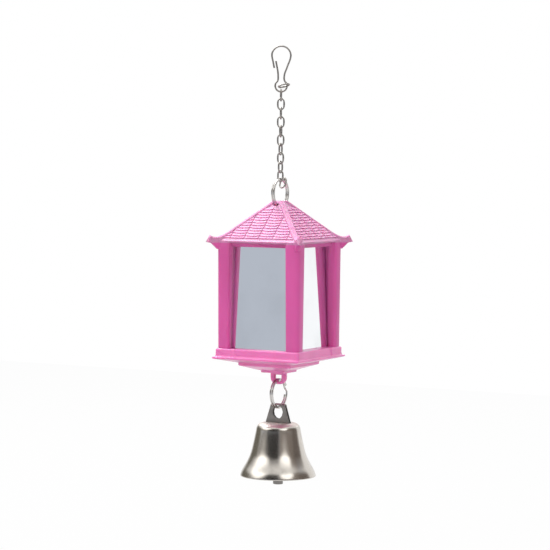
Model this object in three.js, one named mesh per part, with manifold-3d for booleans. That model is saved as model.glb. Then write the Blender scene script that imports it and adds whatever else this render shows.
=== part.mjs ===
// Hanging bird mirror toy: wire hook, chain, split rings, pagoda lantern with four mirrors, and a bell.
// Millimetres, +Z up. The origin is the point inside the hook's bow where the cage wire carries the toy.
import * as THREE from 'three';
import { mergeVertices } from 'three/addons/utils/BufferGeometryUtils.js';
import Module from 'manifold-3d';

const wasm = await Module();
wasm.setup();

// Clearances
const GAP = 0.3; // between pieces that touch on the real toy
const RING_PLAY = 0.4; // between a split ring and the edge that it hangs on
const SINK = 0.4; // how far one feature of a moulding runs into the next, so that they join
const WIRE_SIDES = 8; // of the hook's and the clapper's round wires

// Hook: one wire bent to a bow, a nose, a lower eye and a spring leg
const HOOK_YAW = 29.5; // degrees about Z
const HOOK_WIRE = 0.9; // diameter
const HOOK_BOW_R = 4.9; // to the middle of the wire
const HOOK_BOW_TILT = 8; // degrees that the half circle of the bow leans
const HOOK_NOSE_DROP = 6.4; // from the middle of the bow to the nose's tip
const HOOK_NOSE_LEAN = 1.3;
const HOOK_LEG_LENGTH = 10.9; // from the middle of the bow to the neck
const HOOK_NECK_HALF = 1.55;
const HOOK_EYE_R = 3.05;
const HOOK_EYE_DROP = 4.7; // from the neck to the middle of the eye
const HOOK_EYE_MOUTH = 38; // degrees each side of the top of the eye that stay open
const HOOK_SPRING_TIP_X = 2.75;
const HOOK_SPRING_TIP_DROP = 2.8; // from the middle of the bow
const HOOK_STEPS = 72;

// Chain
const LINK_COUNT = 10;
const LINK_WIRE = 0.9;
const LINK_INNER_LENGTH = 4.95;
const LINK_INNER_WIDTH = 2.4;
const LINK_BENDS = 16;
const LINK_WIRE_SIDES = 8;
const CHAIN_TWIST = -5; // degrees that the hanging chain turns from link to link
const START_LINK_UP = 8.5; // degrees up the right side of the hook's eye to the loose link there
const START_LINK_DIP = 10; // degrees under level
const START_LINK_ROLL = 65; // degrees about its length, from upright
const START_LINK_TURN = 20; // degrees about the hanging line
const START_LINK_PLAY = 0.35; // between its bow and the eye's wire
const END_LINK_LEAN = -27; // degrees round the upper ring, from its top towards the front, to the spare link

// Split rings: flat wire wound twice
const RING_OUTER_R = 8;
const RING_WIRE_RADIAL = 1.3;
const RING_WIRE_AXIAL = 0.7;
const RING_WIRE_EDGE = 0.25; // radial width of the wire's rounded edges
const RING_TURN_GAP = 0.45; // between the two turns
const RING_YAW = -1; // degrees about Z
const RING_SPLIT = 40; // degrees of the circle where only one turn runs, at the step between turns
const RING_STEPS_PER_TURN = 30;
const TOP_RING_SPLIT_AT = 200; // degrees round the ring, from the back over the top
const BOTTOM_RING_SPLIT_AT = 330;

// Roof
const APEX_HALF = 2.2; // half the flat square at the peak
const CAP_THICKNESS = 1.85; // above the hollow
const CEILING_PLAY = 0.85; // from the ring's inner edge up to the hollow's ceiling
const EAVE_HALF = 24;
const ROOF_HEIGHT = 20.55; // from the peak to the edge of the eave
const FASCIA = 0.7; // upright edge of the eave
const ROOF_WALL = 1.8;
const TUNNEL_PLAY = 0.85; // sideways round the ring in the roof's two holes
const TUNNEL_SIDES = 12;
const HIP_WIDTH = 3;
const HIP_RAISE = 0.4; // above the roof's faces
const HIP_BEVEL = 0.5;
const HIP_STRAIGHT = 18.8; // half-side of the roof where the hip starts to sweep out
const HORN_SADDLE_OUT = 0.6; // beyond the eave
const HORN_SADDLE_UP = 0.55; // above the edge of the eave
const HORN_TIP_OUT = 2.5;
const HORN_TIP_UP = 2.8;
const HORN_TOE_OUT = 3.9;
const HORN_TOE_DOWN = 0.8;
const HORN_HEEL_OUT = 2.1; // where the toe's underside turns down to the gusset
const HORN_HEEL_DOWN = 1.3;
const HORN_GUSSET = 4.4; // height of the gusset from the edge of the eave down the post
const TILE_WIDTH = 8.3;
const TILE_COLUMNS = 6;
const TILE_COURSES = 12;
const TILE_THICKNESS = 0.6; // at the lower edge
const TILE_TOP_THICKNESS = 0.05;
const TILE_SEAM = 0.5; // between columns
const TILE_SCALLOP = 0.55; // how far the lower edge bows down
const TILE_TOP_MARGIN = 4.7; // along the slope from the peak
const TILE_EAVE_MARGIN = 2.1;
const TILE_HIP_MARGIN = 2.2; // from a hip, across the face

// Posts and lintels, moulded with the roof
const POST_HALF_TOP = 24.2; // from the axis to the outer face
const POST_HALF_FOOT = 23.9;
const POST_WIDTH_TOP = 7.9;
const POST_WIDTH_FOOT = 7.05;
const POST_CORNER_R = 3;
const POST_EDGE_R = 0.7;
const LINTEL_SET_BACK = 2.3; // behind the posts
const LINTEL_DROP = 2.3; // below the eave
const OPENING_HEIGHT = 52.7; // from the lintel to the base
const HOLLOW_SET_BACK_TOP = 6.6; // behind the posts: the hollow widens downward, to leave its core
const HOLLOW_SET_BACK_FOOT = 4.3;
const SPIGOT = 2.4; // square peg under each post
const SPIGOT_LENGTH = 3;
const SPIGOT_INSET = 1.3; // from the posts' outer faces to the peg

// Mirrors
const MIRROR_THICKNESS = 0.8;
const MIRROR_LAP = 1.6; // behind the lintel

// Base
const PLINTH_PROUD = 0.4; // beyond the posts' feet
const PLINTH_HEIGHT = 4.5;
const BLOCK_PROUD = 0.35; // the corner blocks under the posts, beyond the plinth
const BLOCK_LENGTH = 12.5;
const LIP_PROUD = 1.15; // beyond the plinth
const LIP_HEIGHT = 0.9;
const TIER_1_HALF = 15.55;
const TIER_1_SLOPE = 2.4; // height of the sloped underside above the tier
const TIER_1_RISER = 1.4;
const TIER_2_HALF = 6.8;
const TIER_2_SLOPE = 2.9;
const TIER_2_RISER = 1;
const BASE_WALL = 2;
const CURB_WALL = 1.8;
const CURB_HEIGHT = 2.6;
const TAB_WIDTH = 9;
const TAB_THICKNESS = 2.6;
const TAB_DROP = 6.3; // below the lower tier
const TAB_HOLE_WIDTH = 4;
const TAB_HOLE_HEIGHT = 3.5;
const TAB_BAR = 1.5; // under the hole
const TAB_CORNER = 3.6; // height of the tab's curved lower corners
const TAB_ROUND = 0.7;

// Bell
const HANGER_SHEET = 0.6;
const HANGER_DEPTH = 2.4; // over both leaves
const HANGER_BAR = 0.9; // over the ring hole
const HANGER_PLAY = 0.6; // from the ring up to the top of its hole
const HANGER_HOLE_WIDTH = 6.2;
const HANGER_HOLE_HEIGHT = 7.1;
const HANGER_SILL = 2.4; // between the ring hole and the crown
const HANGER_TOP_HALF = 4.2;
const HANGER_FOOT_HALF = 7.2;
const HANGER_CORNER = 1.1;
const TONGUE_HALF = 2;
const TONGUE_HOLE_R = 0.95;
const TONGUE_HOLE_DROP = 3.2; // below the crown
const BELL_SHEET = 0.7;
const BELL_CROWN_R = 7.2; // flat of the crown
const BELL_SHOULDER_R = 11;
const BELL_SHOULDER_DROP = 3.5;
const BELL_RIM_R = 19.2;
const BELL_HEIGHT = 27.4;
const BELL_FLARE = [ // below the shoulder: share of the height, share of the widening
  [0, 0],
  [0.22, 0.13],
  [0.48, 0.31],
  [0.62, 0.47],
  [0.75, 0.66],
  [0.88, 0.88],
  [1, 1],
];
const BELL_SIDES = 36;

// Clapper
const CLAPPER_WIRE = 1;
const CLAPPER_R = 2.6;
const CLAPPER_LENGTH = 8;
const CLAPPER_CHAMFER = 0.5;
const CLAPPER_BELOW_RIM = 4.2;
const CLAPPER_SOCKET = 3.5; // depth of the wire in the slug
const CLAPPER_HOOK_NOSE = 2; // how far the hook's free end comes down
const CLAPPER_SIDES = 20;
const CLAPPER_STEPS = 40;

// Materials
const steel = new THREE.MeshStandardMaterial({ color: 0x9a9896, roughness: 0.3, metalness: 1 });
const nickel = new THREE.MeshStandardMaterial({ color: 0xb8b2a8, roughness: 0.2, metalness: 1 });
const pink = new THREE.MeshStandardMaterial({ color: 0xe878b9, roughness: 0.35, metalness: 0 });
const silvered = new THREE.MeshStandardMaterial({ color: 0xd8dde6, roughness: 0.05, metalness: 1 });

const rad = THREE.MathUtils.degToRad;
const v2 = (x, y) => new THREE.Vector2(x, y);
const v3 = (x, y, z) => new THREE.Vector3(x, y, z);
const QUARTERS = [0, 1, 2, 3].map((k) => (k * Math.PI) / 2);

// Joining and cutting

function solid(geometry) {
  const bare = geometry.clone();
  bare.deleteAttribute('normal');
  bare.deleteAttribute('uv');
  const merged = mergeVertices(bare, 1e-4);
  return new wasm.Manifold(
    new wasm.Mesh({
      numProp: 3,
      vertProperties: new Float32Array(merged.attributes.position.array),
      triVerts: new Uint32Array(merged.index.array),
    }),
  );
}

function geometryOf(body) {
  const { vertProperties, triVerts } = body.getMesh();
  const geometry = new THREE.BufferGeometry();
  geometry.setAttribute('position', new THREE.BufferAttribute(vertProperties, 3));
  geometry.setIndex(new THREE.BufferAttribute(triVerts, 1));
  geometry.computeVertexNormals();
  return geometry;
}

const joined = (geometries) => geometries.map(solid).reduce((a, b) => a.add(b));

// Basic forms

function box(x0, x1, y0, y1, z0, z1) {
  const middle = v3(x0 + x1, y0 + y1, z0 + z1).divideScalar(2);
  return new THREE.BoxGeometry(x1 - x0, y1 - y0, z1 - z0).translate(...middle);
}

// A square prism or frustum about the Z axis, given by half its side at the top and at the bottom.
function squareFrustum(halfTop, zTop, halfBottom, zBottom) {
  const height = zTop - zBottom;
  return new THREE.CylinderGeometry(halfTop * Math.SQRT2, halfBottom * Math.SQRT2, height, 4)
    .rotateX(Math.PI / 2)
    .rotateZ(Math.PI / 4)
    .translate(0, 0, zBottom + height / 2);
}

// A round wire along a smooth open curve through the points.
function wire(points, diameter, steps) {
  const path = new THREE.CatmullRomCurve3(points, false, 'centripetal');
  const section = new THREE.Shape(arcPoints(0, 0, diameter / 2, 0, 360, WIRE_SIDES).slice(0, -1));
  return new THREE.ExtrudeGeometry(section, { steps, extrudePath: path });
}

// A closed skin over loops of points, each loop with as many points as the last, with flat ends.
function loft(loops) {
  const count = loops[0].length;
  const positions = loops.flat().flatMap((p) => [p.x, p.y, p.z]);
  const index = [];
  for (let j = 0; j + 1 < loops.length; j += 1) {
    for (let i = 0; i < count; i += 1) {
      const a = j * count + i;
      const b = j * count + ((i + 1) % count);
      index.push(a, b, b + count, a, b + count, a + count);
    }
  }
  const last = (loops.length - 1) * count;
  for (let i = 1; i + 1 < count; i += 1) {
    index.push(0, i + 1, i);
    index.push(last, last + i, last + i + 1);
  }
  const geometry = new THREE.BufferGeometry();
  geometry.setAttribute('position', new THREE.Float32BufferAttribute(positions, 3));
  geometry.setIndex(index);
  geometry.computeVertexNormals();
  return geometry;
}

function arcPoints(cx, cy, r, from, to, count) {
  return Array.from({ length: count + 1 }, (_, i) => {
    const a = rad(from + ((to - from) * i) / count);
    return v2(cx + r * Math.cos(a), cy + r * Math.sin(a));
  });
}

// Hook

const bowZ = HOOK_WIRE / 2 - HOOK_BOW_R;
const neckZ = bowZ - HOOK_LEG_LENGTH;
const eyeZ = neckZ - HOOK_EYE_DROP;
const hookSeatZ = eyeZ - HOOK_EYE_R + HOOK_WIRE / 2; // upper side of the wire at the bottom of the eye

function hookGeometry() {
  const bow = arcPoints(0, bowZ, HOOK_BOW_R, 180 - HOOK_BOW_TILT, -HOOK_BOW_TILT, 10);
  const eye = arcPoints(0, eyeZ, HOOK_EYE_R, 90 - HOOK_EYE_MOUTH, -270 + HOOK_EYE_MOUTH, 14);
  const nose = v2(-HOOK_BOW_R + HOOK_NOSE_LEAN, bowZ - HOOK_NOSE_DROP);
  const outline = [
    nose,
    v2((nose.x - HOOK_BOW_R) / 2, (nose.y + bowZ) / 2),
    ...bow,
    v2((HOOK_BOW_R + HOOK_NECK_HALF) / 2, (bowZ + neckZ) / 2),
    v2(HOOK_NECK_HALF, neckZ),
    ...eye,
    v2(-HOOK_NECK_HALF, neckZ),
    v2(-HOOK_SPRING_TIP_X, bowZ - HOOK_SPRING_TIP_DROP),
  ];
  return wire(outline.map((p) => v3(p.x, 0, p.y)), HOOK_WIRE, HOOK_STEPS);
}

// Chain links: a torus pulled apart into a straight-sided loop, hung by the inside of its upper bow

const linkPitch = LINK_INNER_LENGTH - GAP;
const linkTopZ = (i) => hookSeatZ + GAP - i * linkPitch;
const linkYaw = (i) => HOOK_YAW + CHAIN_TWIST * (i - 1) + (i % 2 === 0 ? 90 : 0);
const chainSeatZ = linkTopZ(LINK_COUNT - 1) - LINK_INNER_LENGTH; // upper side of the last link's lower bow

function linkGeometry() {
  const bowR = (LINK_INNER_WIDTH + LINK_WIRE) / 2;
  const stretch = (LINK_INNER_LENGTH - LINK_INNER_WIDTH) / 2;
  const geometry = new THREE.TorusGeometry(bowR, LINK_WIRE / 2, LINK_WIRE_SIDES, LINK_BENDS);
  geometry.rotateZ(Math.PI / LINK_BENDS);
  const position = geometry.attributes.position;
  for (let i = 0; i < position.count; i += 1) {
    const x = position.getX(i);
    position.setX(i, x + Math.sign(x) * stretch);
  }
  geometry.applyMatrix4(new THREE.Matrix4().makeBasis(v3(0, 0, 1), v3(1, 0, 0), v3(0, 1, 0)));
  geometry.computeBoundingBox();
  return geometry.translate(0, 0, LINK_WIRE - geometry.boundingBox.max.z);
}

// Split rings: one wire wound twice, stepping from one turn to the other where its ends lie

const ringMiddleR = RING_OUTER_R - RING_WIRE_RADIAL / 2;
const ringInnerR = RING_OUTER_R - RING_WIRE_RADIAL;
const ringTurnPitch = RING_WIRE_AXIAL + RING_TURN_GAP;
const ringAxialHalf = (ringTurnPitch + RING_WIRE_AXIAL) / 2;

function ringCoil(splitAt) {
  const sweep = 720 - RING_SPLIT;
  const steps = Math.round((sweep / 360) * RING_STEPS_PER_TURN);
  const [r, a] = [RING_WIRE_RADIAL / 2, RING_WIRE_AXIAL / 2];
  const flat = r - RING_WIRE_EDGE;
  const stepFrom = sweep / 2 - RING_SPLIT / 4;
  const stepTo = sweep / 2 + RING_SPLIT / 4;
  const section = [v2(r, 0), v2(flat, a), v2(-flat, a), v2(-r, 0), v2(-flat, -a), v2(flat, -a)];
  const loops = [];
  for (let i = 0; i <= steps; i += 1) {
    const turned = (sweep * i) / steps;
    const angle = rad(splitAt + RING_SPLIT / 2 + turned);
    const side = (THREE.MathUtils.smoothstep(turned, stepFrom, stepTo) - 0.5) * ringTurnPitch;
    const loop = section.map((p) => {
      const radius = ringMiddleR + p.x;
      return v3(side - p.y, radius * Math.cos(angle), radius * Math.sin(angle));
    });
    loops.push(loop);
  }
  return loops;
}

// The least distance between places on the coil that lie more than a third of a turn apart along the wire.
function leastGap(loops) {
  const apart = Math.round(RING_STEPS_PER_TURN / 3);
  let least = Infinity;
  loops.forEach((loop, i) => {
    const distances = loops.slice(i + apart).flat().flatMap((q) => loop.map((p) => p.distanceTo(q)));
    least = Math.min(least, ...distances);
  });
  return least;
}

// Lantern levels, measured from the flat at the peak of the roof

const topRingZ = chainSeatZ + RING_PLAY - ringInnerR;
const lanternZ = topRingZ - ringInnerR + CEILING_PLAY + CAP_THICKNESS;
const roofSlope = Math.atan2(ROOF_HEIGHT, EAVE_HALF - APEX_HALF);
const hipZ = (half) => -(half - APEX_HALF) * Math.tan(roofSlope);
const fasciaZ = -ROOF_HEIGHT - FASCIA;
const lintelZ = fasciaZ - LINTEL_DROP;
const footZ = lintelZ - OPENING_HEIGHT;
const ceilingZ = -CAP_THICKNESS;
const hollowHalfTop = POST_HALF_TOP - HOLLOW_SET_BACK_TOP;
const hollowHalfFoot = POST_HALF_FOOT - HOLLOW_SET_BACK_FOOT;
const wallRise = ROOF_WALL / Math.cos(roofSlope); // the wall measured upright
const hollowShoulderZ = hipZ(hollowHalfTop) - wallRise;
const hollowLean = Math.atan2(hollowHalfFoot - hollowHalfTop, hollowShoulderZ - footZ);
const hollowHalf = (z) => hollowHalfTop + (hollowShoulderZ - z) * Math.tan(hollowLean);

function roofHollow() {
  const ceilingHalf = APEX_HALF + (-ceilingZ - wallRise) / Math.tan(roofSlope);
  const below = footZ - SINK;
  return joined([
    squareFrustum(ceilingHalf, ceilingZ, hollowHalfTop, hollowShoulderZ),
    squareFrustum(hollowHalf(hollowShoulderZ + SINK), hollowShoulderZ + SINK, hollowHalf(below), below),
  ]);
}

// The way that the upper split ring takes through the two sides of the peak.
function ringTunnel() {
  const radial = RING_WIRE_RADIAL / 2 + RING_PLAY;
  const axial = ringAxialHalf + TUNNEL_PLAY;
  const section = Array.from({ length: TUNNEL_SIDES + 1 }, (_, i) => {
    const a = ((i % TUNNEL_SIDES) / TUNNEL_SIDES) * 2 * Math.PI;
    return v2(ringMiddleR + radial * Math.cos(a), axial * Math.sin(a));
  });
  return new THREE.LatheGeometry(section, 4 * TUNNEL_SIDES)
    .rotateZ(-Math.PI / 2)
    .rotateZ(rad(RING_YAW))
    .translate(0, 0, topRingZ - lanternZ);
}

// A hip's rib, which sweeps out into the horn at the corner of the eave and down a gusset on the post.
function hipAndHorn(turn) {
  const at = (half, z) => [half * Math.SQRT2, z];
  const eaveZ = -ROOF_HEIGHT;
  const tip = EAVE_HALF + HORN_TIP_OUT;
  const saddle = EAVE_HALF + HORN_SADDLE_OUT;
  const bend = (HIP_STRAIGHT + saddle) / 2;
  const profile = new THREE.Shape();
  profile.moveTo(...at(APEX_HALF - SINK, -CAP_THICKNESS));
  profile.lineTo(...at(APEX_HALF - SINK, HIP_RAISE - SINK));
  profile.lineTo(...at(APEX_HALF + SINK, hipZ(APEX_HALF + SINK) + HIP_RAISE));
  profile.lineTo(...at(HIP_STRAIGHT, hipZ(HIP_STRAIGHT) + HIP_RAISE));
  profile.bezierCurveTo(
    ...at(bend, hipZ(bend) + HIP_RAISE),
    ...at(saddle, eaveZ + HORN_SADDLE_UP),
    ...at(tip, eaveZ + HORN_TIP_UP),
  );
  profile.lineTo(...at(EAVE_HALF + HORN_TOE_OUT, eaveZ - HORN_TOE_DOWN));
  profile.lineTo(...at(EAVE_HALF + HORN_HEEL_OUT, eaveZ - HORN_HEEL_DOWN));
  profile.lineTo(...at(POST_HALF_TOP - SINK, eaveZ - HORN_GUSSET));
  profile.lineTo(...at(POST_HALF_TOP - POST_WIDTH_TOP / 2, eaveZ - HORN_GUSSET));
  profile.lineTo(...at(hollowHalfTop + SINK, eaveZ));
  const options = {
    depth: HIP_WIDTH - 2 * HIP_BEVEL,
    bevelSize: HIP_BEVEL,
    bevelOffset: -HIP_BEVEL,
    bevelThickness: HIP_BEVEL,
    bevelSegments: 1,
    curveSegments: 8,
  };
  return new THREE.ExtrudeGeometry(profile, options)
    .translate(0, 0, HIP_BEVEL - HIP_WIDTH / 2)
    .rotateX(Math.PI / 2)
    .rotateZ(turn + Math.PI / 4);
}

// Scalloped tiles on one face of the roof, as thin wedges that thicken to their lower edges.
function roofTiles(turn) {
  const slopeLength = ROOF_HEIGHT / Math.sin(roofSlope);
  const bottom = slopeLength - TILE_EAVE_MARGIN;
  const course = (bottom - TILE_TOP_MARGIN) / TILE_COURSES;
  const halfAt = (s) => APEX_HALF + s * Math.cos(roofSlope) - TILE_HIP_MARGIN;
  const wedges = [];
  for (let c = 0; c < TILE_COLUMNS; c += 1) {
    const middle = (c - (TILE_COLUMNS - 1) / 2) * TILE_WIDTH;
    const half = (TILE_WIDTH - TILE_SEAM) / 2;
    for (let k = 0; k < TILE_COURSES; k += 1) {
      const top = TILE_TOP_MARGIN + k * course;
      if (Math.abs(middle) - half > halfAt(top + course)) continue;
      const outline = new THREE.Shape();
      outline.moveTo(middle - half, -top);
      outline.lineTo(middle - half, -top - course);
      outline.quadraticCurveTo(middle, -top - course - 2 * TILE_SCALLOP, middle + half, -top - course);
      outline.lineTo(middle + half, -top);
      const wedge = new THREE.ExtrudeGeometry(outline, { depth: 1, bevelEnabled: false, curveSegments: 4 });
      const position = wedge.attributes.position;
      for (let i = 0; i < position.count; i += 1) {
        const down = -position.getY(i) - top;
        const share = down / (course + TILE_SCALLOP);
        const raised = THREE.MathUtils.lerp(TILE_TOP_THICKNESS, TILE_THICKNESS, share);
        position.setZ(i, position.getZ(i) > 0 ? raised : -SINK);
      }
      wedges.push(wedge);
    }
  }
  const window = new THREE.Shape([
    v2(-halfAt(TILE_TOP_MARGIN), -TILE_TOP_MARGIN),
    v2(-halfAt(bottom), -bottom),
    v2(halfAt(bottom), -bottom),
    v2(halfAt(TILE_TOP_MARGIN), -TILE_TOP_MARGIN),
  ]);
  const depth = 2 * (TILE_THICKNESS + SINK);
  const clip = new THREE.ExtrudeGeometry(window, { depth, bevelEnabled: false }).translate(0, 0, -depth / 2);
  const kept = joined(wedges).intersect(solid(clip));
  return geometryOf(kept).rotateX(roofSlope).translate(0, -APEX_HALF, 0).rotateZ(turn);
}

// A post: a square with a rounded outer corner, drawn in towards its foot.
function postGeometry(turn) {
  const section = (outer, width, z) => {
    const inner = outer - width;
    const corners = [
      ...arcPoints(outer - POST_CORNER_R, outer - POST_CORNER_R, POST_CORNER_R, 0, 90, 4),
      ...arcPoints(inner + POST_EDGE_R, outer - POST_EDGE_R, POST_EDGE_R, 90, 180, 2),
      v2(inner, inner),
      ...arcPoints(outer - POST_EDGE_R, inner + POST_EDGE_R, POST_EDGE_R, 270, 360, 2),
    ];
    return corners.map((p) => v3(p.x, p.y, z));
  };
  return loft([
    section(POST_HALF_FOOT, POST_WIDTH_FOOT, footZ),
    section(POST_HALF_TOP, POST_WIDTH_TOP, fasciaZ + SINK),
  ]).rotateZ(turn);
}

function spigotGeometry(turn, play, zTop) {
  const outer = POST_HALF_FOOT - SPIGOT_INSET + play;
  const inner = POST_HALF_FOOT - SPIGOT_INSET - SPIGOT - play;
  return box(inner, outer, inner, outer, footZ - SPIGOT_LENGTH - play, zTop).rotateZ(turn);
}

function frameGeometry() {
  const roof = squareFrustum(APEX_HALF, 0, EAVE_HALF, -ROOF_HEIGHT);
  const fascia = squareFrustum(EAVE_HALF, -ROOF_HEIGHT, EAVE_HALF, fasciaZ);
  const lintelHalf = POST_HALF_TOP - LINTEL_SET_BACK;
  const lintel = squareFrustum(lintelHalf, fasciaZ + SINK, lintelHalf, lintelZ);
  const corners = QUARTERS.flatMap((turn) => [hipAndHorn(turn), postGeometry(turn)]);
  const spigots = QUARTERS.map((turn) => spigotGeometry(turn, 0, footZ + SINK));
  const body = joined([roof, fascia, lintel, ...corners]).subtract(roofHollow()).add(joined(spigots));
  const tiled = body.add(joined(QUARTERS.map(roofTiles)));
  return geometryOf(tiled.subtract(solid(ringTunnel())));
}

// Mirrors: each leans on the two posts at its sides, with one edge behind its neighbour's

function mirrorGeometry() {
  const topZ = lintelZ + MIRROR_LAP;
  const bottomZ = footZ + GAP;
  const left = -hollowHalf(topZ) + GAP;
  const right = hollowHalf(topZ) - MIRROR_THICKNESS - 2 * GAP;
  const length = (topZ - bottomZ) / Math.cos(hollowLean);
  return new THREE.BoxGeometry(right - left, MIRROR_THICKNESS, length)
    .translate((left + right) / 2, GAP + MIRROR_THICKNESS / 2, length / 2)
    .rotateX(-hollowLean)
    .translate(0, -hollowHalf(bottomZ), bottomZ);
}

// Base: plinth with corner blocks, lip, and a stepped underside that ends in the eye for the lower ring

const plinthHalf = POST_HALF_FOOT + PLINTH_PROUD;
const lipHalf = plinthHalf + LIP_PROUD;
const lipZ = footZ - PLINTH_HEIGHT;
const lipFootZ = lipZ - LIP_HEIGHT;
const tier1Z = lipFootZ - TIER_1_SLOPE;
const tier1FootZ = tier1Z - TIER_1_RISER;
const tier2Z = tier1FootZ - TIER_2_SLOPE;
const tier2FootZ = tier2Z - TIER_2_RISER;
const tabFootZ = tier2FootZ - TAB_DROP;
const tabSeatZ = tabFootZ + TAB_BAR; // bottom of the tab's hole
const curbHalf = hollowHalf(footZ) - 2 * GAP - MIRROR_THICKNESS / Math.cos(hollowLean);

function tabGeometry() {
  const half = TAB_WIDTH / 2;
  const outline = new THREE.Shape();
  outline.moveTo(-half, tier2FootZ + TAB_ROUND + SINK);
  outline.lineTo(-half, tabFootZ + TAB_CORNER);
  outline.quadraticCurveTo(-half, tabFootZ, 0, tabFootZ);
  outline.quadraticCurveTo(half, tabFootZ, half, tabFootZ + TAB_CORNER);
  outline.lineTo(half, tier2FootZ + TAB_ROUND + SINK);
  const hole = new THREE.Path();
  const topZ = tabSeatZ + TAB_HOLE_HEIGHT;
  hole.moveTo(-TAB_HOLE_WIDTH / 2, topZ);
  hole.lineTo(TAB_HOLE_WIDTH / 2, topZ);
  hole.lineTo(TAB_HOLE_WIDTH / 2, tabSeatZ + TAB_HOLE_HEIGHT / 2);
  hole.quadraticCurveTo(TAB_HOLE_WIDTH / 2, tabSeatZ, 0, tabSeatZ);
  hole.quadraticCurveTo(-TAB_HOLE_WIDTH / 2, tabSeatZ, -TAB_HOLE_WIDTH / 2, tabSeatZ + TAB_HOLE_HEIGHT / 2);
  outline.holes.push(hole);
  const options = {
    depth: TAB_THICKNESS - 2 * TAB_ROUND,
    bevelSize: TAB_ROUND,
    bevelOffset: -TAB_ROUND,
    bevelThickness: TAB_ROUND,
    bevelSegments: 2,
    curveSegments: 6,
  };
  return new THREE.ExtrudeGeometry(outline, options)
    .translate(0, 0, TAB_ROUND - TAB_THICKNESS / 2)
    .rotateX(Math.PI / 2);
}

function baseGeometry() {
  const blocks = QUARTERS.map((turn) => {
    const outer = plinthHalf + BLOCK_PROUD;
    const inner = outer - BLOCK_LENGTH;
    return box(inner, outer, inner, outer, lipZ, footZ).rotateZ(turn);
  });
  const outside = joined([
    squareFrustum(plinthHalf, footZ, plinthHalf, lipZ),
    squareFrustum(lipHalf, lipZ, lipHalf, lipFootZ),
    squareFrustum(lipHalf, lipFootZ, TIER_1_HALF, tier1Z),
    squareFrustum(TIER_1_HALF, tier1Z, TIER_1_HALF, tier1FootZ),
    squareFrustum(TIER_1_HALF, tier1FootZ, TIER_2_HALF, tier2Z),
    squareFrustum(TIER_2_HALF, tier2Z, TIER_2_HALF, tier2FootZ),
    squareFrustum(curbHalf, footZ + CURB_HEIGHT, curbHalf, footZ - SINK),
    ...blocks,
    tabGeometry(),
  ]);
  const hollowHalves = [curbHalf - CURB_WALL, TIER_1_HALF - BASE_WALL, TIER_2_HALF - BASE_WALL];
  const [wide, middle, narrow] = hollowHalves;
  const [floor0, floor1, floor2, floor3] = [lipFootZ, tier1Z, tier1FootZ, tier2Z].map((z) => z + BASE_WALL);
  const hollow = joined([
    squareFrustum(wide, footZ + CURB_HEIGHT + SINK, wide, floor0),
    squareFrustum(wide, floor0, middle, floor1),
    squareFrustum(middle, floor1, middle, floor2),
    squareFrustum(middle, floor2, narrow, floor3),
  ]);
  const sockets = joined(QUARTERS.map((turn) => spigotGeometry(turn, GAP, footZ + SINK)));
  return geometryOf(outside.subtract(hollow).subtract(sockets));
}

// Bell levels

const bottomRingZ = lanternZ + tabSeatZ + RING_PLAY - ringInnerR;
const hangerHoleTopZ = bottomRingZ - ringInnerR + HANGER_PLAY;
const crownZ = hangerHoleTopZ - HANGER_HOLE_HEIGHT - HANGER_SILL - GAP;
const hangerTopZ = hangerHoleTopZ + HANGER_BAR - crownZ; // from here on, measured from the crown
const rimZ = -BELL_HEIGHT;
const tongueHoleZ = -TONGUE_HOLE_DROP;

function bellOutline() {
  const flareZ = -BELL_SHOULDER_DROP;
  const { lerp } = THREE.MathUtils;
  const flare = new THREE.SplineCurve(
    BELL_FLARE.map(([down, out]) => v2(lerp(BELL_SHOULDER_R, BELL_RIM_R, out), lerp(flareZ, rimZ, down))),
  );
  const shoulder = new THREE.QuadraticBezierCurve(
    v2(BELL_CROWN_R, 0),
    v2(BELL_SHOULDER_R, 0),
    v2(BELL_SHOULDER_R, flareZ),
  );
  return [v2(0, 0), ...shoulder.getPoints(4), ...flare.getPoints(10).slice(1)];
}

// The same outline moved inwards by the thickness of the sheet.
function insideOf(outline) {
  return outline.map((p, i) => {
    const before = outline[Math.max(i - 1, 0)];
    const after = outline[Math.min(i + 1, outline.length - 1)];
    const along = after.clone().sub(before).normalize();
    const moved = v2(p.x + along.y * BELL_SHEET, p.y - along.x * BELL_SHEET);
    if (i === 0) moved.x = 0;
    if (i === outline.length - 1) moved.y = p.y;
    return moved;
  });
}

function bellGeometry() {
  const outline = bellOutline();
  const profile = [...insideOf(outline), ...outline.slice().reverse()];
  const shell = new THREE.LatheGeometry(profile, BELL_SIDES).rotateX(Math.PI / 2);
  const slotHalf = TONGUE_HALF + GAP;
  const slotDepth = HANGER_DEPTH / 2 + GAP;
  const slot = box(-slotHalf, slotHalf, -slotDepth, slotDepth, -BELL_SHEET - SINK, SINK);
  return geometryOf(solid(shell).subtract(solid(slot)));
}

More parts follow.
